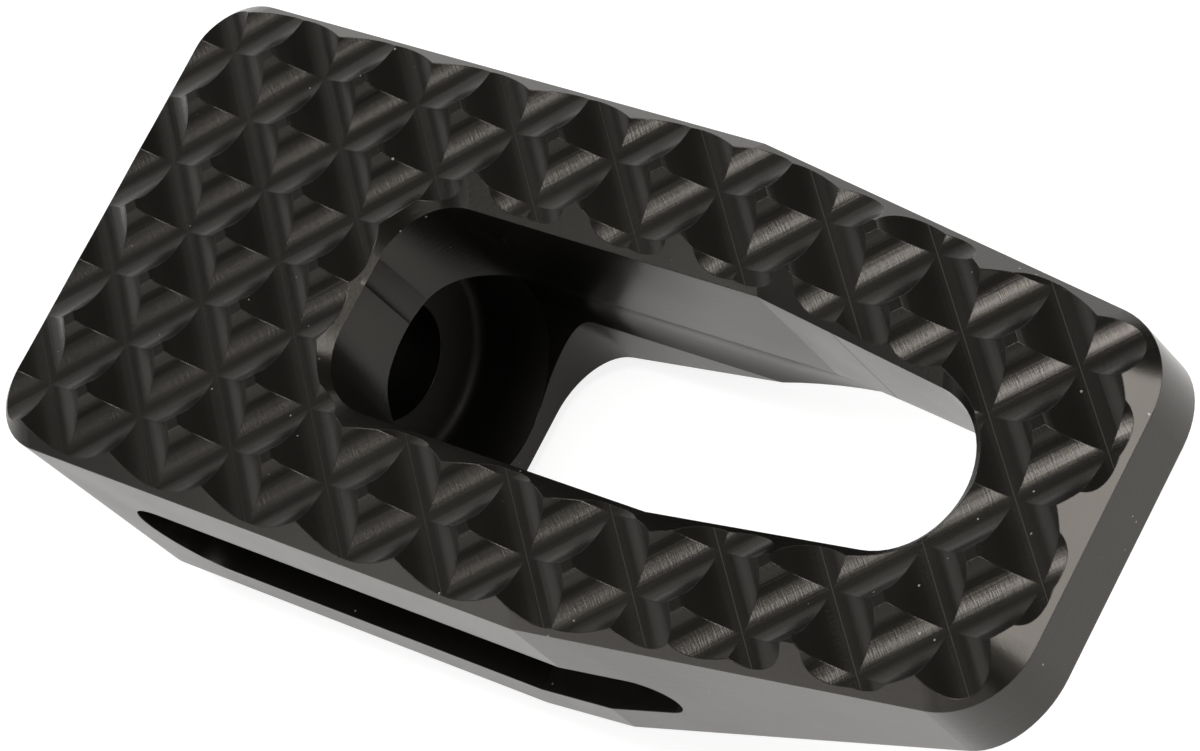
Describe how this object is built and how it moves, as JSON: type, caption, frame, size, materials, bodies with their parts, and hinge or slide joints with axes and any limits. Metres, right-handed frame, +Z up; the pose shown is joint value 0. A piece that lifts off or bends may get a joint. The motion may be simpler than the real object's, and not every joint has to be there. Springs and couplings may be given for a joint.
{
  "type": "motorcycle brake pedal foot pad",
  "caption": "Tapered foot pad for a motorcycle brake pedal, machined from a billet, with a diamond grip, a long window and a counterbored bolt hole.",
  "frame": {"origin": "centre of the bolt hole, in the plane of the mounting face", "axes": "+X along the bolt axis from the mounting face to the toe end, +Z up through the grip, +Y across the pad"},
  "size_m": [0.1085, 0.045, 0.0333],
  "materials": {
    "anodised": "satin black anodised"
  },
  "bodies": {
    "root": {"pedal_pad": "anodised"}
  },
  "joints": []
}
